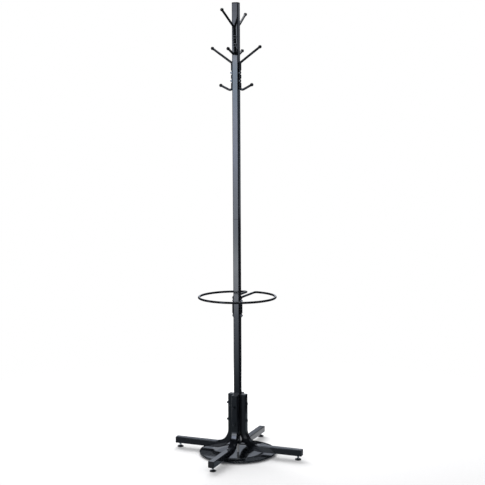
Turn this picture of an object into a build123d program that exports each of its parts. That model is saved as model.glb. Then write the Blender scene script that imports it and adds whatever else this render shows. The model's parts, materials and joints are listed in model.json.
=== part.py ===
from build123d import *
import os

# Standing coat rack: a square steel post on a cross of four bent legs, with four double-prong
# coat hooks, an umbrella ring and a round drip tray.
# Millimetres, +Z up. The origin is on the floor, under the post's axis.
# The legs point along +X (right), +Y (back), -X (left) and -Y (front).

ON_TOP = (Align.CENTER, Align.CENTER, Align.MIN)     # a solid that rises from the XY plane
HANGING = (Align.CENTER, Align.CENTER, Align.MAX)    # one that hangs below it

# Overall
TOTAL_HEIGHT = 1784.0
LEG_REACH = 271.5            # post axis to the tip of each leg
FIT = 0.1                    # clearance round a part that slides into a tube

# Square tube, the same section for the post and the legs
TUBE = 25.4
WALL = 1.5
TUBE_CORNER = 2.8
BORE = TUBE - 2 * WALL
BORE_CORNER = TUBE_CORNER - WALL

# Post
POST_FOOT_Z = 41.2           # a spacer stands between here and the tray
POST_JOINT_Z = 945.0         # where the upper tube meets the lower one
POST_JOINT_CHAMFER = 0.5     # round both tubes' ends where they meet
JOINER_LENGTH = 160.0
CAP_HEAD = 5.0
CAP_SHANK = 18.0
FOOT_PLUG_LENGTH = 25.0

# Legs
LEG_TOP_Z = 244.0
LEG_UNDERSIDE_Z = 17.0
LEG_BEND_RADIUS = 70.0       # to the tube's centreline
LEG_TOP_HEAD = 2.5           # thickness of the cap that closes a leg's upper end
TOP_PLUG_LENGTH = 12.0
TIP_PLUG_LENGTH = 8.0        # short enough to clear the glide's bush
TIP_PLUG_RECESS = 1.2
PLUG_WALL = 2.0
PLUG_LEAD = 0.8              # chamfer round a plug's inner end
PLUG_ROUNDING = 0.45         # of the head's thickness
MAX_ROUNDING = 1.6

# Base bolts: one pair runs left to right, the other front to back just below it
BASE_BOLT_Z_X = (205.0, 137.0)
BASE_BOLT_Z_Y = (193.5, 125.5)
BASE_BOLT_RADIUS = 3.0
BASE_HOLE_RADIUS = 3.3
BASE_HEAD_FLATS = 10.0
BASE_HEAD_HEIGHT = 4.0
BASE_BOLT_GRIP = 7.0         # how far a base bolt runs into its cap nut

HEX_FACE = 0.96              # flat end of a hex head, as a share of its width across flats

# Cap nuts: width across flats, height of the hexagon, radius of the dome, depth of the blind thread
BASE_CAP_NUT = (10.0, 5.2, 4.6, 7.6)
HOOK_CAP_NUT = (8.0, 4.0, 3.7, 5.8)

# Levelling glides
GLIDE_INSET = 16.0           # leg tip to the glide's axis
PAD_RADIUS = 12.2
PAD_THICKNESS = 4.4
PAD_EDGE = 1.4
PAD_FOOT_CHAMFER = 0.5
PAD_BOSS_RADIUS = 6.5
PAD_BOSS_TOP_Z = 6.2
STEM_RADIUS = 3.95
STEM_TOP_Z = 30.5
STEM_NECK_RADIUS = 2.6
STEM_BALL_RADIUS = 3.2
STEM_BALL_Z = 4.2
STEM_SHOULDER_GAP = 1.0      # between the pad's boss and the threaded shank
STEM_CHAMFER = 0.6
SWIVEL_GAP = 0.1
STEM_SLOT = (1.2, 2.0)       # width and depth of the screwdriver slot
INSERT_BORE_RADIUS = 4.0
INSERT_RADIUS = 5.45
INSERT_HOLE_RADIUS = 5.5
INSERT_FLANGE_RADIUS = 8.0
INSERT_FLANGE = 1.2
INSERT_TOP_Z = 29.0

# Drip tray, a turned profile
TRAY_RADIUS = 155.0
TRAY_SHEET = 1.2
TRAY_FLOOR_Z = 5.0           # top of the flat floor
TRAY_FLOOR_RADIUS = 86.0     # where the floor starts to rise
TRAY_STEP_RADIUS = 114.0     # where the rise meets the level band
TRAY_BAND_Z = 9.2            # top of the band
TRAY_BEAD_RADIUS = 2.6
TRAY_BEAD_Z = 8.6
TRAY_BOLT_RADIUS = 3.0
TRAY_HOLE_RADIUS = 3.3
TRAY_BOLT_HEAD_FLATS = 10.0
TRAY_BOLT_HEAD = 2.5
TRAY_BOLT_REACH = 55.0
TRAY_SPACER_RADIUS = 4.6

# Bent rod, used for the hooks and for the umbrella ring
ROD_RADIUS = 4.5
ROD_OFFSET = TUBE / 2 + ROD_RADIUS   # rod centreline to post axis
ROD_END_CHAMFER = 0.8
FLAT_THICKNESS = 4.3         # the rod is pressed flat where a bolt goes through it
FLAT_WIDTH = 12.6
FLAT_LENGTH = 17.0
FLAT_SEAT = 11.8             # length of the level part under a bolt's head
ROD_BOLT_RADIUS = 2.5
ROD_HOLE_RADIUS = 3.1
ROD_HEAD_RADIUS = 4.9
ROD_HEAD_HEIGHT = 3.4
PAN_DOME = 0.7               # rounding of a pan head, as a share of its height
PAN_SLOT = (5.6, 1.2, 1.6)   # length, width and depth of one arm of its driver recess
HOOK_BOLT_GRIP = 5.2         # how far a hook bolt runs into its cap nut
RING_NUT_FLATS = 8.0
RING_NUT_HEIGHT = 4.2
RING_BOLT_TAIL = 1.0         # how far a ring bolt shows past its open nut

# Hooks, as distances from the post axis and heights from the upper bend
HOOK_UPPER_TIP = (99.5, 58.5)
HOOK_LOWER_BEND = -103.5
HOOK_LOWER_ELBOW = 29.0
HOOK_LOWER_TIP = (65.0, -85.5)
HOOK_BOLTS = (-38.0, -69.0)
HOOK_BENDS = (10.0, 8.0, 14.0)       # upper bend, lower bend, elbow
HOOK_BALL_RADIUS = 6.7
HOOK_BALL_GRIP = 2.5         # how far the rod runs on past the ball's centre
HOOK_Z_SIDES = 1553.5        # upper bend of the left and right hooks
HOOK_Z_ENDS = 1689.5         # upper bend of the front and back hooks
FRONT_HOOK_TURN = -9.0       # the front hook's prongs were bent off square
FRONT_HOOK_LEAN = 2.0        # and it sits askew in the slack of its holes

# Umbrella ring
RING_RADIUS = 152.0
RING_Z = 634.4
RING_NECK_BEND = 10.0
RING_DROP_BEND = 6.0
RING_BOLT_Z = (620.0, 561.0)
RING_END_Z = 554.5

LEG_CENTRE_Z = LEG_UNDERSIDE_Z + TUBE / 2
LEG_COLUMN = TUBE            # post axis to the centreline of a leg's upright
LEG_OUTER_FACE = LEG_COLUMN + TUBE / 2
GLIDE_RADIUS = LEG_REACH - GLIDE_INSET
DIRECTIONS = {"right": 0, "back": 90, "left": 180, "front": 270}

parts = {}


def turned(shape, angle):
    """The shape turned about the post's axis."""
    return Rot(0, 0, angle) * shape


def square_section(size, corner):
    return RectangleRounded(size, size, corner)


def upright_bar(size, corner, low, high):
    """A solid square bar on the post's axis, between two heights."""
    return Pos(0, 0, low) * extrude(square_section(size, corner), high - low)


def upright_tube(low, high, joint_end):
    """One of the post's two tubes; joint_end is 0 if it meets the other at its foot, -1 if at its top."""
    outside = upright_bar(TUBE, TUBE_CORNER, low, high)
    outside = chamfer(outside.edges().group_by(Axis.Z)[joint_end], POST_JOINT_CHAMFER)
    inside = upright_bar(BORE, BORE_CORNER, low - 1, high + 1)
    return outside - inside


def bar_along(axis, radius, half_length, height):
    """A round bar across the post at one height, along X or Y."""
    bar = Cylinder(radius, 2 * half_length)
    lay_down = Rot(0, 90, 0) if axis == "x" else Rot(90, 0, 0)
    return Pos(0, 0, height) * lay_down * bar


def hex_prism(flats, height):
    """A hexagonal head or nut on the XY plane, its outer corners turned off at 45 degrees."""
    corner_radius = flats / 3 ** 0.5
    face_radius = flats / 2 * HEX_FACE
    bevel = corner_radius - face_radius
    stock = Cylinder(corner_radius, height - bevel, align=ON_TOP)
    stock += Pos(0, 0, height - bevel) * Cone(corner_radius, face_radius, bevel, align=ON_TOP)
    return extrude(RegularPolygon(corner_radius, 6), height) & stock


def cap_nut(bolt_radius, flats, hex_height, dome_radius, bore_depth):
    """A domed nut whose seat is on the YZ plane and whose dome points along +X."""
    nut = hex_prism(flats, hex_height)
    nut += Pos(0, 0, hex_height) * Sphere(dome_radius)
    nut &= Cylinder(flats, 2 * flats, align=ON_TOP)
    nut -= Cylinder(bolt_radius, bore_depth, align=ON_TOP)
    return Rot(0, 90, 0) * nut


def pan_head(radius, height):
    """A low domed bolt head on the XY plane, with a crossed driver recess."""
    head = Cylinder(radius, height, align=ON_TOP)
    head = fillet(head.edges().group_by(Axis.Z)[-1], height * PAN_DOME)
    slot_length, slot_width, slot_depth = PAN_SLOT
    for angle in (0, 90):
        slot = Box(slot_length, slot_width, slot_depth, align=HANGING)
        head -= Pos(0, 0, height) * turned(slot, angle)
    return head


# Post

def make_upper_post():
    tube = upright_tube(POST_JOINT_Z, TOTAL_HEIGHT - CAP_HEAD, 0)
    for drop in HOOK_BOLTS:
        tube -= bar_along("x", ROD_HOLE_RADIUS, TUBE, HOOK_Z_SIDES + drop)
        tube -= bar_along("y", ROD_HOLE_RADIUS, TUBE, HOOK_Z_ENDS + drop)
    return tube


def make_lower_post():
    tube = upright_tube(POST_FOOT_Z, POST_JOINT_Z, -1)
    for height in RING_BOLT_Z:
        tube -= bar_along("x", ROD_HOLE_RADIUS, TUBE, height)
    for height in BASE_BOLT_Z_X:
        tube -= bar_along("x", BASE_HOLE_RADIUS, TUBE, height)
    for height in BASE_BOLT_Z_Y:
        tube -= bar_along("y", BASE_HOLE_RADIUS, TUBE, height)
    return tube


def make_post_joiner():
    """A short square sleeve inside the post, half in each tube."""
    low = POST_JOINT_Z - JOINER_LENGTH / 2
    high = POST_JOINT_Z + JOINER_LENGTH / 2
    outer = BORE - 2 * FIT
    outside = upright_bar(outer, BORE_CORNER, low, high)
    inside = upright_bar(outer - 2 * WALL, BORE_CORNER / 2, low - 1, high + 1)
    return outside - inside


def plug_shank(length):
    """The hollow square shank of a tube plug, from the XY plane down."""
    outer = BORE - 2 * FIT
    shank = Pos(0, 0, -length) * extrude(square_section(outer, BORE_CORNER), length)
    shank = chamfer(shank.edges().group_by(Axis.Z)[0], PLUG_LEAD)
    pocket_size = outer - 2 * PLUG_WALL
    pocket = Pos(0, 0, -length) * extrude(square_section(pocket_size, BORE_CORNER / 2), length - PLUG_WALL)
    return shank - pocket


def headed_plug(head_height, shank_length):
    """A plug whose head covers the end of a square tube; the tube ends on the XY plane."""
    head = extrude(square_section(TUBE, TUBE_CORNER), head_height)
    head = fillet(head.edges().group_by(Axis.Z)[-1], min(head_height * PLUG_ROUNDING, MAX_ROUNDING))
    return head + plug_shank(shank_length)


def make_post_foot_plug():
    """The threaded block in the post's lower end that the tray's bolt runs up into."""
    block = upright_bar(BORE - 2 * FIT, BORE_CORNER, POST_FOOT_Z, POST_FOOT_Z + FOOT_PLUG_LENGTH)
    thread = Cylinder(TRAY_BOLT_RADIUS, 2 * FOOT_PLUG_LENGTH + 2)
    return block - Pos(0, 0, POST_FOOT_Z + FOOT_PLUG_LENGTH) * thread


parts["upper_post"] = make_upper_post()
parts["lower_post"] = make_lower_post()
parts["post_joiner"] = make_post_joiner()
parts["post_top_cap"] = Pos(0, 0, TOTAL_HEIGHT - CAP_HEAD) * headed_plug(CAP_HEAD, CAP_SHANK)
parts["post_foot_plug"] = make_post_foot_plug()


# Legs: each is made pointing along +X, then turned

def leg_bar(size, corner, top_z, tip_x):
    """A solid square bar along a leg's centreline."""
    bend_top = Vector(LEG_COLUMN, 0, LEG_CENTRE_Z + LEG_BEND_RADIUS)
    bend_end = Vector(LEG_COLUMN + LEG_BEND_RADIUS, 0, LEG_CENTRE_Z)
    top = Vector(LEG_COLUMN, 0, top_z)
    tip = Vector(tip_x, 0, LEG_CENTRE_Z)
    path = Line(top, bend_top) + TangentArc(bend_top, bend_end, tangent=(0, 0, -1)) + Line(bend_end, tip)
    start = Plane(origin=top, x_dir=(1, 0, 0), z_dir=(0, 0, -1))
    return sweep(start * square_section(size, corner), path=path)


def make_leg(bolt_heights):
    tube_top = LEG_TOP_Z - LEG_TOP_HEAD
    leg = leg_bar(TUBE, TUBE_CORNER, tube_top, LEG_REACH)
    leg -= leg_bar(BORE, BORE_CORNER, tube_top + 1, LEG_REACH + 1)
    for height in bolt_heights:
        hole = Cylinder(BASE_HOLE_RADIUS, 2 * TUBE)
        leg -= Pos(LEG_COLUMN, 0, height) * Rot(0, 90, 0) * hole
    insert_hole = Cylinder(INSERT_HOLE_RADIUS, 4 * WALL)
    return leg - Pos(GLIDE_RADIUS, 0, LEG_UNDERSIDE_Z) * insert_hole


def make_tip_plug():
    """The plug in a leg's tip, pushed in a little past the tube's end."""
    outward = Plane(origin=(LEG_REACH - TIP_PLUG_RECESS, 0, LEG_CENTRE_Z), x_dir=(0, 1, 0), z_dir=(1, 0, 0))
    return outward * plug_shank(TIP_PLUG_LENGTH)


def make_insert():
    """The threaded bush in a leg's underside that the glide screws into."""
    flange = Cylinder(INSERT_FLANGE_RADIUS, INSERT_FLANGE, align=HANGING)
    barrel = Cylinder(INSERT_RADIUS, INSERT_TOP_Z - LEG_UNDERSIDE_Z, align=ON_TOP)
    bore = Cylinder(INSERT_BORE_RADIUS, 2 * INSERT_TOP_Z)
    return Pos(GLIDE_RADIUS, 0, LEG_UNDERSIDE_Z) * (flange + barrel - bore)


def make_glide_stem():
    """A glide's screw: threaded shank, neck, and the ball that snaps into the pad."""
    shank_foot = PAD_BOSS_TOP_Z + STEM_SHOULDER_GAP
    shank = Cylinder(STEM_RADIUS, STEM_TOP_Z - shank_foot, align=HANGING)
    shank = chamfer(shank.edges().filter_by(GeomType.CIRCLE), STEM_CHAMFER)
    slot_width, slot_depth = STEM_SLOT
    shank -= Box(3 * STEM_RADIUS, slot_width, slot_depth, align=HANGING)
    neck = Pos(0, 0, STEM_BALL_Z) * Cylinder(STEM_NECK_RADIUS, shank_foot - STEM_BALL_Z, align=ON_TOP)
    ball = Pos(0, 0, STEM_BALL_Z) * Sphere(STEM_BALL_RADIUS)
    return Pos(GLIDE_RADIUS, 0, 0) * (Pos(0, 0, STEM_TOP_Z) * shank + neck + ball)


def make_glide_pad():
    """A round foot with a socket for the stem's ball."""
    pad = Cylinder(PAD_RADIUS, PAD_THICKNESS, align=ON_TOP)
    pad = fillet(pad.edges().group_by(Axis.Z)[-1], PAD_EDGE)
    pad = chamfer(pad.edges().group_by(Axis.Z)[0], PAD_FOOT_CHAMFER)
    pad += Cylinder(PAD_BOSS_RADIUS, PAD_BOSS_TOP_Z, align=ON_TOP)
    pad -= Pos(0, 0, STEM_BALL_Z) * Sphere(STEM_BALL_RADIUS + SWIVEL_GAP)
    pad -= Pos(0, 0, STEM_BALL_Z) * Cylinder(STEM_NECK_RADIUS + SWIVEL_GAP, PAD_BOSS_TOP_Z, align=ON_TOP)
    return Pos(GLIDE_RADIUS, 0, 0) * pad


leg_top_plug = Pos(LEG_COLUMN, 0, LEG_TOP_Z - LEG_TOP_HEAD) * headed_plug(LEG_TOP_HEAD, TOP_PLUG_LENGTH)
for side, angle in DIRECTIONS.items():
    bolts = BASE_BOLT_Z_X if side in ("left", "right") else BASE_BOLT_Z_Y
    parts[side + "_leg"] = turned(make_leg(bolts), angle)
    parts[side + "_leg_top_plug"] = turned(leg_top_plug, angle)
    parts[side + "_leg_tip_plug"] = turned(make_tip_plug(), angle)
    parts[side + "_leg_insert"] = turned(make_insert(), angle)
    parts[side + "_glide_stem"] = turned(make_glide_stem(), angle)
    parts[side + "_glide_pad"] = turned(make_glide_pad(), angle)


# Base bolts and cap nuts. All cross bolts but the ring's have their heads on the right or at the
# back, and domed cap nuts on the left or in front.

def base_bolt():
    """A hex bolt along +X, with its head's seat on the YZ plane."""
    head = Rot(0, -90, 0) * hex_prism(BASE_HEAD_FLATS, BASE_HEAD_HEIGHT)
    length = 2 * LEG_OUTER_FACE + BASE_BOLT_GRIP
    shank = Rot(0, 90, 0) * Cylinder(BASE_BOLT_RADIUS, length, align=ON_TOP)
    return head + shank


def at_heights(shape, x, heights, angle):
    """Copies of a fastener that lies along +X, one at each height, turned to its direction."""
    return Compound(children=[turned(Pos(x, 0, height) * shape, angle) for height in heights])


BOLT_ROWS = {"left_right": (BASE_BOLT_Z_X, HOOK_Z_SIDES, 180), "front_back": (BASE_BOLT_Z_Y, HOOK_Z_ENDS, 270)}
base_cap_nut = cap_nut(BASE_BOLT_RADIUS, *BASE_CAP_NUT)
for row, (base_heights, hook_z, angle) in BOLT_ROWS.items():
    parts["base_bolts_" + row] = at_heights(base_bolt(), -LEG_OUTER_FACE, base_heights, angle)
    parts["base_nuts_" + row] = at_heights(base_cap_nut, LEG_OUTER_FACE, base_heights, angle)


# Drip tray

def make_drip_tray():
    """A pressed dish: flat floor, shallow rounded step, level band and a rolled bead round the edge."""
    run = TRAY_STEP_RADIUS - TRAY_FLOOR_RADIUS
    rise = TRAY_BAND_Z - TRAY_FLOOR_Z
    step_radius = (run ** 2 + rise ** 2) / (4 * rise)
    bead_x = TRAY_RADIUS - TRAY_BEAD_RADIUS
    floor_end = (TRAY_FLOOR_RADIUS, TRAY_FLOOR_Z)
    step_middle = (TRAY_FLOOR_RADIUS + run / 2, TRAY_FLOOR_Z + rise / 2)
    band_start = (TRAY_STEP_RADIUS, TRAY_BAND_Z)
    floor = Line((TRAY_HOLE_RADIUS, TRAY_FLOOR_Z), floor_end)
    step_foot = RadiusArc(floor_end, step_middle, -step_radius)
    step_head = RadiusArc(step_middle, band_start, step_radius)
    band = Line(band_start, (bead_x, TRAY_BAND_Z))
    spine = floor + step_foot + step_head + band
    sheet = Pos(0, -TRAY_SHEET / 2) * trace(spine, TRAY_SHEET)
    bead = Pos(bead_x, TRAY_BEAD_Z) * Circle(TRAY_BEAD_RADIUS)
    profile = Plane.XZ * (sheet + bead)
    return revolve(profile, Axis.Z)


def make_tray_bolt():
    """Holds the tray and its spacer up against the post's foot, from below."""
    seat_z = TRAY_FLOOR_Z - TRAY_SHEET
    head = Pos(0, 0, seat_z) * Rot(180, 0, 0) * hex_prism(TRAY_BOLT_HEAD_FLATS, TRAY_BOLT_HEAD)
    shank = Pos(0, 0, seat_z) * Cylinder(TRAY_BOLT_RADIUS, TRAY_BOLT_REACH, align=ON_TOP)
    return head + shank


def make_tray_spacer():
    """The tube round the bolt that keeps the tray down at its height."""
    length = POST_FOOT_Z - TRAY_FLOOR_Z
    tube = Cylinder(TRAY_SPACER_RADIUS, length, align=ON_TOP)
    tube -= Cylinder(TRAY_HOLE_RADIUS, 4 * length)
    return Pos(0, 0, TRAY_FLOOR_Z) * tube


parts["drip_tray"] = make_drip_tray()
parts["tray_bolt"] = make_tray_bolt()
parts["tray_spacer"] = make_tray_spacer()


# Bent rod with pressed flats: shared by the hooks and the umbrella ring

def press_flat(rod, height):
    """Press one flat into an upright rod on the +X side of the post, and drill it."""
    face = TUBE / 2
    outer = face + FLAT_THICKNESS
    half = FLAT_SEAT / 2
    reach = ROD_RADIUS * 2
    outline = Polygon((outer, -half), (outer, half), (outer + reach, half + reach),
                      (outer + reach, -half - reach), align=None)
    rod -= Pos(0, 0, height) * extrude(Plane.XZ * outline, FLAT_WIDTH, both=True)
    against_post = Plane(origin=(face, 0, height), x_dir=(0, 0, 1), z_dir=(1, 0, 0))
    rod += extrude(against_post * SlotOverall(FLAT_LENGTH, FLAT_WIDTH), FLAT_THICKNESS)
    drill = Pos(ROD_OFFSET, 0, height) * Rot(0, 90, 0) * Cylinder(ROD_HOLE_RADIUS, 4 * ROD_RADIUS)
    return rod - drill


def hook_points():
    upper_x, upper_z = HOOK_UPPER_TIP
    lower_x, lower_z = HOOK_LOWER_TIP
    return {"upper_tip": Vector(upper_x, 0, upper_z), "upper_bend": Vector(ROD_OFFSET, 0, 0),
            "lower_bend": Vector(ROD_OFFSET, 0, HOOK_LOWER_BEND),
            "elbow": Vector(HOOK_LOWER_ELBOW, 0, HOOK_LOWER_BEND), "lower_tip": Vector(lower_x, 0, lower_z)}


def make_hook():
    """One bent rod with a long upper prong and a short lower one, pointing along +X."""
    points = hook_points()
    upper_out = (points["upper_tip"] - points["upper_bend"]).normalized()
    lower_out = (points["lower_tip"] - points["elbow"]).normalized()
    first = points["upper_tip"] + upper_out * HOOK_BALL_GRIP
    last = points["lower_tip"] + lower_out * HOOK_BALL_GRIP
    route = [first, points["upper_bend"], points["lower_bend"], points["elbow"], last]
    path = FilletPolyline(*route, radius=HOOK_BENDS)
    start = Plane(origin=first, z_dir=-upper_out)
    return sweep(start * Circle(ROD_RADIUS), path=path)


def make_hook_ball(tip, inner):
    """A ball pushed onto the end of a prong, with a blind bore for the rod."""
    points = hook_points()
    out = (points[tip] - points[inner]).normalized()
    ball = Pos(*points[tip]) * Sphere(HOOK_BALL_RADIUS)
    mouth = Plane(origin=points[tip] + out * HOOK_BALL_GRIP, z_dir=-out)
    return ball - extrude(mouth * Circle(ROD_RADIUS), 2 * HOOK_BALL_RADIUS)


def swung(shape, turn, lean):
    """Turn the prongs about the hook's upright, then lean the hook about the middle of its flats."""
    middle = sum(HOOK_BOLTS) / len(HOOK_BOLTS)
    shape = Pos(ROD_OFFSET, 0, 0) * Rot(0, 0, turn) * Pos(-ROD_OFFSET, 0, 0) * shape
    return Pos(0, 0, middle) * Rot(lean, 0, 0) * Pos(0, 0, -middle) * shape


for side, angle in DIRECTIONS.items():
    hook_z = HOOK_Z_SIDES if side in ("left", "right") else HOOK_Z_ENDS
    turn = FRONT_HOOK_TURN if side == "front" else 0
    lean = FRONT_HOOK_LEAN if side == "front" else 0
    hook = swung(make_hook(), turn, 0)
    for drop in HOOK_BOLTS:
        hook = press_flat(hook, drop)
    place = Pos(0, 0, hook_z)
    parts[side + "_hook"] = place * turned(swung(hook, 0, lean), angle)
    upper_ball = swung(make_hook_ball("upper_tip", "upper_bend"), turn, lean)
    lower_ball = swung(make_hook_ball("lower_tip", "elbow"), turn, lean)
    parts[side + "_hook_upper_ball"] = place * turned(upper_ball, angle)
    parts[side + "_hook_lower_ball"] = place * turned(lower_ball, angle)


# Umbrella ring

def make_umbrella_ring():
    """A ring open at the back; its ends run in beside the post and turn down to be bolted."""
    bend = RING_NECK_BEND
    neck_x = ROD_OFFSET + bend
    neck_y = ((RING_RADIUS - bend) ** 2 - neck_x ** 2) ** 0.5
    scale = RING_RADIUS / (RING_RADIUS - bend)
    out = Vector(neck_x, neck_y, 0).normalized()
    half_way = (out + Vector(-1, 0, 0)).normalized()
    drop = RING_DROP_BEND
    diagonal = drop * (1 - 0.5 ** 0.5)

    def side_edges(sign):
        foot = Vector(sign * ROD_OFFSET, 0, RING_END_Z)
        drop_low = Vector(sign * ROD_OFFSET, 0, RING_Z - drop)
        drop_middle = Vector(sign * ROD_OFFSET, diagonal, RING_Z - diagonal)
        drop_high = Vector(sign * ROD_OFFSET, drop, RING_Z)
        neck = Vector(sign * ROD_OFFSET, neck_y, RING_Z)
        corner = Vector(sign * (neck_x + bend * half_way.X), neck_y + bend * half_way.Y, RING_Z)
        rim = Vector(sign * neck_x * scale, neck_y * scale, RING_Z)
        edges = [Line(foot, drop_low), ThreePointArc(drop_low, drop_middle, drop_high),
                 Line(drop_high, neck), ThreePointArc(neck, corner, rim)]
        return edges, rim

    right_edges, right_rim = side_edges(1)
    left_edges, left_rim = side_edges(-1)
    front = ThreePointArc(right_rim, (0, -RING_RADIUS, RING_Z), left_rim)
    path = Wire(right_edges + [front] + left_edges)
    start = Plane(origin=(ROD_OFFSET, 0, RING_END_Z), z_dir=(0, 0, 1))
    ring = sweep(start * Circle(ROD_RADIUS), path=path)
    ring = chamfer(ring.edges().group_by(Axis.Z)[0], ROD_END_CHAMFER)
    for height in RING_BOLT_Z:
        ring = press_flat(ring, height)
        ring = turned(press_flat(turned(ring, 180), height), 180)
    return ring


def rod_bolt(reach):
    """A pan-head bolt along +X, with its head's seat on the YZ plane, that runs on past the far flat."""
    head = Rot(0, -90, 0) * pan_head(ROD_HEAD_RADIUS, ROD_HEAD_HEIGHT)
    length = TUBE + 2 * FLAT_THICKNESS + reach
    shank = Rot(0, 90, 0) * Cylinder(ROD_BOLT_RADIUS, length, align=ON_TOP)
    return head + shank


def open_nut():
    nut = Rot(0, 90, 0) * hex_prism(RING_NUT_FLATS, RING_NUT_HEIGHT)
    return nut - Rot(0, 90, 0) * Cylinder(ROD_BOLT_RADIUS, 4 * RING_NUT_HEIGHT)


parts["umbrella_ring"] = make_umbrella_ring()
seat = TUBE / 2 + FLAT_THICKNESS
hook_cap_nut = cap_nut(ROD_BOLT_RADIUS, *HOOK_CAP_NUT)
for row, (base_heights, hook_z, angle) in BOLT_ROWS.items():
    heights = [hook_z + drop for drop in HOOK_BOLTS]
    parts["hook_bolts_" + row] = at_heights(rod_bolt(HOOK_BOLT_GRIP), -seat, heights, angle)
    parts["hook_nuts_" + row] = at_heights(hook_cap_nut, seat, heights, angle)
ring_bolt_reach = RING_NUT_HEIGHT + RING_BOLT_TAIL
parts["ring_bolts"] = at_heights(rod_bolt(ring_bolt_reach), -seat, RING_BOLT_Z, 0)
parts["ring_nuts"] = at_heights(open_nut(), seat, RING_BOLT_Z, 0)

os.makedirs("parts", exist_ok=True)
for name, shape in parts.items():
    export_step(shape, f"parts/{name}.step")
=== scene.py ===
import json
import math

import bpy
from mathutils import Matrix, Vector

# The looks of a standing coat rack: gloss black enamel on steel tube and rod, satin black plastic,
# zinc-plated screws. Metres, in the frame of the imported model.

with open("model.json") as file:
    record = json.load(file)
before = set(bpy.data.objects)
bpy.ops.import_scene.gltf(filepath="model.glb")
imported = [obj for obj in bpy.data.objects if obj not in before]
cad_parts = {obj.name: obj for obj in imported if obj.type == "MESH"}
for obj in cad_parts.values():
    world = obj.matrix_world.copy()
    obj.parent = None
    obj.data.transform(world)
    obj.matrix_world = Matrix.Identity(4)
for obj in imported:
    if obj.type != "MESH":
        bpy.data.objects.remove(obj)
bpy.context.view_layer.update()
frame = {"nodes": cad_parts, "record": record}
nodes = frame["nodes"]
scene = bpy.context.scene

# Camera, from the view that the object was seen in
CAMERA_AZIMUTH = math.radians(22.23)
CAMERA_DISTANCE = 4.2575
CAMERA_HEIGHT = 1.2836
CAMERA_PITCH = math.radians(5.79)
CAMERA_YAW = math.radians(-0.292)
CAMERA_ROLL = math.radians(-0.259)
FOCAL_LENGTH = 80.42
SENSOR = 36.0


def make_camera():
    data = bpy.data.cameras.new("camera")
    data.lens = FOCAL_LENGTH
    data.sensor_width = SENSOR
    camera = bpy.data.objects.new("camera", data)
    scene.collection.objects.link(camera)
    heading = Matrix.Rotation(CAMERA_AZIMUTH + CAMERA_YAW, 4, "Z")
    tilt = Matrix.Rotation(math.pi / 2 - CAMERA_PITCH, 4, "X")
    roll = Matrix.Rotation(CAMERA_ROLL, 4, "Z")
    place = Vector((math.sin(CAMERA_AZIMUTH) * CAMERA_DISTANCE, -math.cos(CAMERA_AZIMUTH) * CAMERA_DISTANCE,
                    CAMERA_HEIGHT))
    camera.matrix_world = Matrix.Translation(place) @ heading @ tilt @ roll
    scene.camera = camera


# Node materials

class Shader:
    """A node tree being built: nodes are added and wired by name."""

    def __init__(self, name):
        self.material = bpy.data.materials.new(name)
        self.material.use_nodes = True
        self.tree = self.material.node_tree
        self.surface = self.tree.nodes["Principled BSDF"]

    def node(self, kind, **settings):
        made = self.tree.nodes.new(kind)
        for key, value in settings.items():
            setattr(made, key, value)
        return made

    def wire(self, source, target):
        self.tree.links.new(source, target)

    def set(self, **values):
        for key, value in values.items():
            self.surface.inputs[key.replace("_", " ")].default_value = value

    def coordinates(self, stretch=(1.0, 1.0, 1.0)):
        place = self.node("ShaderNodeTexCoord")
        mapping = self.node("ShaderNodeMapping")
        mapping.inputs["Scale"].default_value = stretch
        self.wire(place.outputs["Object"], mapping.inputs["Vector"])
        return mapping.outputs["Vector"]

    def noise(self, scale, detail=3.0, roughness=0.5, stretch=(1.0, 1.0, 1.0)):
        made = self.node("ShaderNodeTexNoise")
        made.inputs["Scale"].default_value = scale
        made.inputs["Detail"].default_value = detail
        made.inputs["Roughness"].default_value = roughness
        self.wire(self.coordinates(stretch), made.inputs["Vector"])
        return made.outputs["Fac"]

    def remap(self, value, low_in, high_in, low_out, high_out):
        made = self.node("ShaderNodeMapRange")
        for key, number in (("From Min", low_in), ("From Max", high_in), ("To Min", low_out), ("To Max", high_out)):
            made.inputs[key].default_value = number
        self.wire(value, made.inputs["Value"])
        return made.outputs["Result"]

    def mix_colour(self, factor, first, second):
        made = self.node("ShaderNodeMix", data_type="RGBA")
        for socket, value in ((made.inputs[6], first), (made.inputs[7], second)):
            if isinstance(value, tuple):
                socket.default_value = value
            else:
                self.wire(value, socket)
        self.wire(factor, made.inputs[0])
        return made.outputs[2]

    def bump(self, height, distance, strength, normal=None):
        made = self.node("ShaderNodeBump")
        made.inputs["Distance"].default_value = distance
        made.inputs["Strength"].default_value = strength
        self.wire(height, made.inputs["Height"])
        if normal is not None:
            self.wire(normal, made.inputs["Normal"])
        return made.outputs["Normal"]


def gloss_enamel(name, sag, shine):
    """Stoved gloss black: a deep blue-black with fine orange peel and faint handling haze.
    The sag is how far the coat wanders on broad faces, in metres; the shine is its specular level."""
    s = Shader(name)
    s.set(IOR=1.5, Specular_IOR_Level=shine)
    tone = s.remap(s.noise(9.0, 4.0), 0.3, 0.7, 0.0, 1.0)
    colour = s.mix_colour(tone, (0.0035, 0.0042, 0.006, 1.0), (0.007, 0.0078, 0.0098, 1.0))
    s.wire(colour, s.surface.inputs["Base Color"])
    haze = s.remap(s.noise(55.0, 6.0, 0.62), 0.35, 0.75, 0.08, 0.17)
    s.wire(haze, s.surface.inputs["Roughness"])
    peel = s.bump(s.noise(600.0, 2.0), 0.00003, 0.25)
    s.wire(s.bump(s.noise(28.0, 1.0), sag, 0.3, peel), s.surface.inputs["Normal"])
    return s.material


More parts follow.
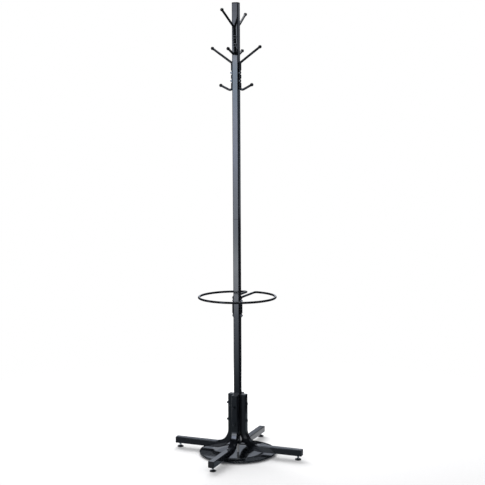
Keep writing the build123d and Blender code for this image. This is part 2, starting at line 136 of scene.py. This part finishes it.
def moulded_black():
    """Satin black polyethylene with a fine spark-eroded grain."""
    s = Shader("moulded_black_plastic")
    s.set(IOR=1.48)
    tone = s.remap(s.noise(60.0, 4.0), 0.3, 0.7, 0.0, 1.0)
    colour = s.mix_colour(tone, (0.007, 0.0075, 0.009, 1.0), (0.014, 0.0145, 0.016, 1.0))
    s.wire(colour, s.surface.inputs["Base Color"])
    s.wire(s.remap(s.noise(300.0, 3.0), 0.3, 0.7, 0.28, 0.42), s.surface.inputs["Roughness"])
    s.wire(s.bump(s.noise(1500.0, 3.0, 0.6), 0.00005, 0.5), s.surface.inputs["Normal"])
    return s.material


def ball_plastic():
    """The prong balls: smoother black plastic with a slight scuff where coats rub."""
    s = Shader("ball_black_plastic")
    s.set(IOR=1.5)
    scuff = s.remap(s.noise(120.0, 5.0, 0.65), 0.45, 0.7, 0.0, 1.0)
    colour = s.mix_colour(scuff, (0.006, 0.006, 0.007, 1.0), (0.018, 0.018, 0.02, 1.0))
    s.wire(colour, s.surface.inputs["Base Color"])
    s.wire(s.remap(scuff, 0.0, 1.0, 0.2, 0.38), s.surface.inputs["Roughness"])
    s.wire(s.bump(s.noise(700.0, 2.0), 0.00004, 0.3), s.surface.inputs["Normal"])
    return s.material


def black_plating():
    """Black-plated steel bolts and nuts, rubbed brighter in patches."""
    s = Shader("black_plated_steel")
    s.set(Metallic=1.0)
    rub = s.remap(s.noise(260.0, 5.0, 0.6), 0.5, 0.8, 0.0, 1.0)
    colour = s.mix_colour(rub, (0.10, 0.103, 0.112, 1.0), (0.22, 0.22, 0.23, 1.0))
    s.wire(colour, s.surface.inputs["Base Color"])
    s.wire(s.remap(rub, 0.0, 1.0, 0.16, 0.32), s.surface.inputs["Roughness"])
    s.wire(s.bump(s.noise(900.0, 3.0), 0.00003, 0.4), s.surface.inputs["Normal"])
    return s.material


def zinc_shader(name):
    """Clouded zinc plating, without a surface pattern yet."""
    s = Shader(name)
    s.set(Metallic=1.0)
    cloud = s.remap(s.noise(180.0, 4.0), 0.3, 0.7, 0.0, 1.0)
    colour = s.mix_colour(cloud, (0.55, 0.56, 0.58, 1.0), (0.68, 0.68, 0.67, 1.0))
    s.wire(colour, s.surface.inputs["Base Color"])
    s.wire(s.remap(cloud, 0.0, 1.0, 0.24, 0.38), s.surface.inputs["Roughness"])
    return s


def dull_zinc():
    """Zinc gone dull: mostly a soft grey, with little of a mirror left in it."""
    s = zinc_shader("dull_zinc")
    s.set(Metallic=0.25)
    s.wire(s.remap(s.noise(90.0, 4.0), 0.3, 0.7, 0.45, 0.6), s.surface.inputs["Roughness"])
    return s.material


def zinc_plate():
    """Bright zinc-plated steel with fine turning marks round it."""
    s = zinc_shader("zinc_plated_steel")
    s.wire(s.bump(s.noise(60.0, 3.0, 0.5, (1.0, 1.0, 40.0)), 0.00003, 0.4), s.surface.inputs["Normal"])
    return s.material


THREAD_PITCH = 0.00125
THREAD_DEPTH = 0.0006


def zinc_thread():
    """The glides' screws: the same plating, with a right-hand thread wound round each shank."""
    s = zinc_shader("zinc_plated_thread")
    place = s.node("ShaderNodeTexCoord")
    across = s.node("ShaderNodeSeparateXYZ")
    s.wire(place.outputs["Generated"], across.inputs["Vector"])
    along = s.node("ShaderNodeSeparateXYZ")
    s.wire(place.outputs["Object"], along.inputs["Vector"])

    def maths(operation, first, second):
        made = s.node("ShaderNodeMath", operation=operation)
        for socket, value in zip(made.inputs, (first, second)):
            if isinstance(value, float):
                socket.default_value = value
            else:
                s.wire(value, socket)
        return made.outputs[0]

    x = maths("SUBTRACT", across.outputs["X"], 0.5)
    y = maths("SUBTRACT", across.outputs["Y"], 0.5)
    turn = maths("DIVIDE", maths("ARCTAN2", y, x), 2 * math.pi)
    rise = maths("SUBTRACT", maths("DIVIDE", along.outputs["Z"], THREAD_PITCH), turn)
    height = maths("PINGPONG", rise, 0.5)
    s.wire(s.bump(height, THREAD_DEPTH, 1.0), s.surface.inputs["Normal"])
    return s.material


def give_materials():
    made = {"gloss_black_paint": gloss_enamel("gloss_black_enamel", 0.00002, 0.5), "black_plastic": moulded_black(),
            "black_ball": ball_plastic(), "black_fastener": black_plating(), "plain_steel": zinc_plate()}
    rod = gloss_enamel("gloss_black_rod_enamel", 0.00001, 0.3)
    thread = zinc_thread()
    dull = dull_zinc()
    for part in frame["record"]["subparts"]:
        name = part["node"]
        material = made[part["material_slot"]]
        if name.endswith("_hook") or name == "umbrella_ring":
            material = rod
        if name.endswith("_glide_stem"):
            material = thread
        if name == "tray_spacer":
            material = dull
        nodes[name].data.materials.clear()
        nodes[name].data.materials.append(material)


# The room: a pale floor that fades into white, and soft lights

FLOOR_SIZE = 6.0
FLOOR_SOLID = 0.9            # the floor is whole out to here
FLOOR_GONE = 1.8             # and has faded away here
CARD_EDGE = 0.12             # share of a card's width over which its sides fade out


def make_floor():
    """A pale floor that takes the shadows and fades away before the background."""
    bpy.ops.mesh.primitive_plane_add(size=FLOOR_SIZE)
    floor = bpy.context.object
    floor.name = "floor"
    floor.visible_glossy = False
    s = Shader("pale_floor")
    s.set(Base_Color=(0.86, 0.86, 0.86, 1.0), Roughness=0.8, Specular_IOR_Level=0.2)
    place = s.node("ShaderNodeTexCoord")
    length = s.node("ShaderNodeVectorMath", operation="LENGTH")
    s.wire(place.outputs["Object"], length.inputs[0])
    fade = s.remap(length.outputs["Value"], FLOOR_SOLID, FLOOR_GONE, 1.0, 0.0)
    s.wire(fade, s.surface.inputs["Alpha"])
    floor.data.materials.append(s.material)


def around(azimuth, distance, height):
    """A point round the post: azimuth 0 is in front of it (-Y), and positive turns towards +X."""
    angle = math.radians(azimuth)
    return Vector((math.sin(angle) * distance, -math.cos(angle) * distance, height))


def only_mirrored(thing):
    """Leave a thing out of everything but the reflections in the enamel."""
    thing.visible_camera = False
    thing.visible_diffuse = False
    thing.visible_transmission = False
    thing.visible_shadow = False


def glow(name, coordinate, low, high, stops, side):
    """Light whose colour goes by one coordinate, from a list of (coordinate, radiance)."""
    s = Shader(name)
    s.tree.nodes.remove(s.surface)
    place = s.node("ShaderNodeTexCoord")
    split = s.node("ShaderNodeSeparateXYZ")
    s.wire(place.outputs["Object"], split.inputs["Vector"])
    brightest = max(max(colour) for _, colour in stops)
    ramp = s.node("ShaderNodeValToRGB")
    for index, (at, colour) in enumerate(stops):
        share = (at - low) / (high - low)
        if index < 2:
            element = ramp.color_ramp.elements[index]
            element.position = share
        else:
            element = ramp.color_ramp.elements.new(share)
        element.color = tuple(value / brightest for value in colour) + (1.0,)
    s.wire(s.remap(split.outputs[coordinate], low, high, 0.0, 1.0), ramp.inputs["Fac"])
    across = s.node("ShaderNodeSeparateXYZ")
    s.wire(place.outputs["Generated"], across.inputs["Vector"])
    rise = s.remap(across.outputs[side], 0.0, CARD_EDGE, 0.0, 1.0)
    fall = s.remap(across.outputs[side], 1.0 - CARD_EDGE, 1.0, 1.0, 0.0)
    sides = s.node("ShaderNodeMath", operation="MULTIPLY")
    s.wire(rise, sides.inputs[0])
    s.wire(fall, sides.inputs[1])
    strength = s.node("ShaderNodeMath", operation="MULTIPLY")
    s.wire(sides.outputs[0], strength.inputs[0])
    strength.inputs[1].default_value = brightest
    emission = s.node("ShaderNodeEmission")
    s.wire(ramp.outputs["Color"], emission.inputs["Color"])
    s.wire(strength.outputs[0], emission.inputs["Strength"])
    s.wire(emission.outputs[0], s.tree.nodes["Material Output"].inputs["Surface"])
    return s.material


def glowing(name, points, material):
    """A four-sided card that only shows as a reflection."""
    mesh = bpy.data.meshes.new(name)
    mesh.from_pydata(points, [], [(0, 1, 2, 3)])
    mesh.materials.append(material)
    made = bpy.data.objects.new(name, mesh)
    scene.collection.objects.link(made)
    only_mirrored(made)


def card(name, azimuth, distance, width, stops):
    """An upright reflector that faces the post, with a list of (height, radiance) from its foot up."""
    low, high = stops[0][0], stops[-1][0]
    centre = around(azimuth, distance, 0.0)
    along = around(azimuth + 90.0, width / 2, 0.0)
    foot, top = Vector((0.0, 0.0, low)), Vector((0.0, 0.0, high))
    points = [centre - along + foot, centre + along + foot, centre + along + top, centre - along + top]
    side = "X" if abs(along.x) > abs(along.y) else "Y"
    glowing(name, points, glow(name, "Z", low, high, stops, side))


def flat_card(name, x, height, width, stops):
    """A level reflector centred on x, with a list of (y, radiance) from front to back."""
    low, high = stops[0][0], stops[-1][0]
    points = [(x - width / 2, low, height), (x + width / 2, low, height),
              (x + width / 2, high, height), (x - width / 2, high, height)]
    glowing(name, points, glow(name, "Y", low, high, stops, "X"))


def softbox(name, place, target, width, height, radiance, colour=(1.0, 1.0, 1.0)):
    """A rectangular light for the floor and for soft shading, never seen or mirrored."""
    data = bpy.data.lights.new(name, "AREA")
    data.shape = "RECTANGLE"
    data.size = width
    data.size_y = height
    data.energy = radiance * math.pi * width * height
    data.color = colour
    light = bpy.data.objects.new(name, data)
    scene.collection.objects.link(light)
    light.location = place
    light.rotation_euler = (Vector(place) - Vector(target)).to_track_quat("Z", "Y").to_euler()
    light.visible_camera = False
    light.visible_glossy = False


# What the enamel mirrors, as (height on the card, red, green and blue radiance)
FRONT_LEFT_CARD = (
    (-0.60, (0.20, 0.24, 0.28)), (-0.23, (0.22, 0.27, 0.32)), (-0.18, (0.45, 0.54, 0.62)),
    (-0.10, (0.72, 0.84, 0.98)), (-0.02, (0.95, 1.08, 1.25)), (0.06, (1.20, 1.36, 1.60)),
    (0.14, (1.45, 1.62, 1.90)), (0.21, (1.75, 1.95, 2.30)), (0.26, (2.90, 3.15, 3.55)),
    (0.34, (4.00, 4.25, 4.70)), (0.44, (4.55, 4.90, 5.30)), (0.54, (4.60, 5.00, 5.40)),
    (0.62, (3.60, 3.95, 4.35)), (0.70, (3.30, 3.65, 4.25)), (0.84, (3.80, 4.15, 4.80)),
    (1.00, (4.10, 4.50, 5.40)), (1.10, (4.60, 5.15, 6.50)), (1.25, (5.20, 5.75, 7.20)),
    (1.42, (5.10, 5.75, 7.30)), (1.50, (4.60, 5.60, 7.00)), (1.66, (4.60, 5.70, 7.10)),
    (1.71, (6.20, 6.60, 7.80)), (1.77, (4.20, 4.60, 5.40)), (1.84, (3.40, 3.70, 4.30)),
    (1.93, (3.20, 3.50, 4.10)), (2.03, (2.60, 2.75, 3.30)), (2.12, (2.30, 2.45, 3.00)))
BACK_RIGHT_CARD = (
    (0.775, (0.12, 0.13, 0.16)), (0.80, (0.22, 0.24, 0.29)), (0.90, (0.26, 0.29, 0.34)),
    (1.10, (0.22, 0.26, 0.31)), (1.45, (0.20, 0.25, 0.31)), (1.70, (0.27, 0.30, 0.36)),
    (1.90, (0.32, 0.35, 0.42)), (2.05, (0.52, 0.56, 0.64)), (2.15, (0.56, 0.59, 0.66)))
BACK_LEFT_CARD = (
    (0.35, (0.10, 0.11, 0.13)), (0.60, (0.35, 0.38, 0.44)), (0.80, (0.55, 0.60, 0.70)),
    (1.00, (1.10, 1.18, 1.32)), (1.50, (1.30, 1.38, 1.50)), (2.00, (0.60, 0.64, 0.72)))
SIDE_CARD = ((0.20, (0.15, 0.16, 0.19)), (0.90, (0.45, 0.49, 0.56)), (1.90, (0.50, 0.54, 0.62)))
LOW_LEFT_CARD = ((-0.45, (5.0, 5.2, 5.5)), (0.20, (5.0, 5.2, 5.5)))

# The level cards, as (distance behind the post, red, green and blue radiance)
CEILING_CARD = ((-0.10, (7.0, 7.4, 8.0)), (1.00, (7.0, 7.4, 8.0)))
# The two floor cards are a painted reflection of the floor, which is itself kept out of the reflections. The wide
# card is a dim sheet standing in for the floor in shade in front of the legs. The narrow card behind the post
# stands in for lit floor and is darker towards the post.
FLOOR_CARD = ((-0.50, (0.22, 0.26, 0.30)), (0.60, (0.22, 0.26, 0.30)))
BACK_FLOOR_CARD = ((0.05, (0.40, 0.44, 0.48)), (0.16, (1.00, 1.04, 1.10)), (0.42, (1.25, 1.27, 1.30)))


def make_lights():
    softbox("back_wall", around(-147.0, 2.4, 1.8), (0, 0, 0.1), 2.4, 1.5, 8.0)
    card("front_left_card", -22.23, 2.2, 0.62, FRONT_LEFT_CARD)
    card("back_right_card", 157.77, 2.2, 0.7, BACK_RIGHT_CARD)
    card("back_left_card", -157.77, 2.6, 1.3, BACK_LEFT_CARD)
    card("left_card", -97.0, 2.6, 0.5, SIDE_CARD)
    card("right_card", 84.0, 2.8, 0.4, SIDE_CARD)
    flat_card("ceiling_card", -0.1, 3.0, 0.9, CEILING_CARD)
    # Painted reflections of the floor: dim where they stand in for floor in shade, bright where they stand in for
    # lit floor.
    flat_card("floor_card", 0.0, -0.001, 1.1, FLOOR_CARD)
    flat_card("back_floor_card", 0.05, -0.0005, 0.14, BACK_FLOOR_CARD)
    card("low_left_card", -72.0, 1.6, 0.5, LOW_LEFT_CARD)


WORLD_SEEN = (1.0, 1.0, 1.0, 1.0)
WORLD_FILL = (0.80, 0.80, 0.81, 1.0)
WORLD_MIRRORED = (0.022, 0.024, 0.030, 1.0)


def make_world():
    """White to the camera, a soft fill, and dark where the enamel mirrors it."""
    world = bpy.data.worlds.new("studio")
    scene.world = world
    world.use_nodes = True
    tree = world.node_tree
    background = tree.nodes["Background"]
    path = tree.nodes.new("ShaderNodeLightPath")
    colour = WORLD_FILL
    for ray, value in (("Is Glossy Ray", WORLD_MIRRORED), ("Is Camera Ray", WORLD_SEEN)):
        mix = tree.nodes.new("ShaderNodeMix")
        mix.data_type = "RGBA"
        if isinstance(colour, tuple):
            mix.inputs[6].default_value = colour
        else:
            tree.links.new(colour, mix.inputs[6])
        mix.inputs[7].default_value = value
        tree.links.new(path.outputs[ray], mix.inputs[0])
        colour = mix.outputs[2]
    tree.links.new(colour, background.inputs["Color"])
    scene.view_settings.view_transform = "Standard"


make_camera()
give_materials()
make_floor()
make_lights()
make_world()
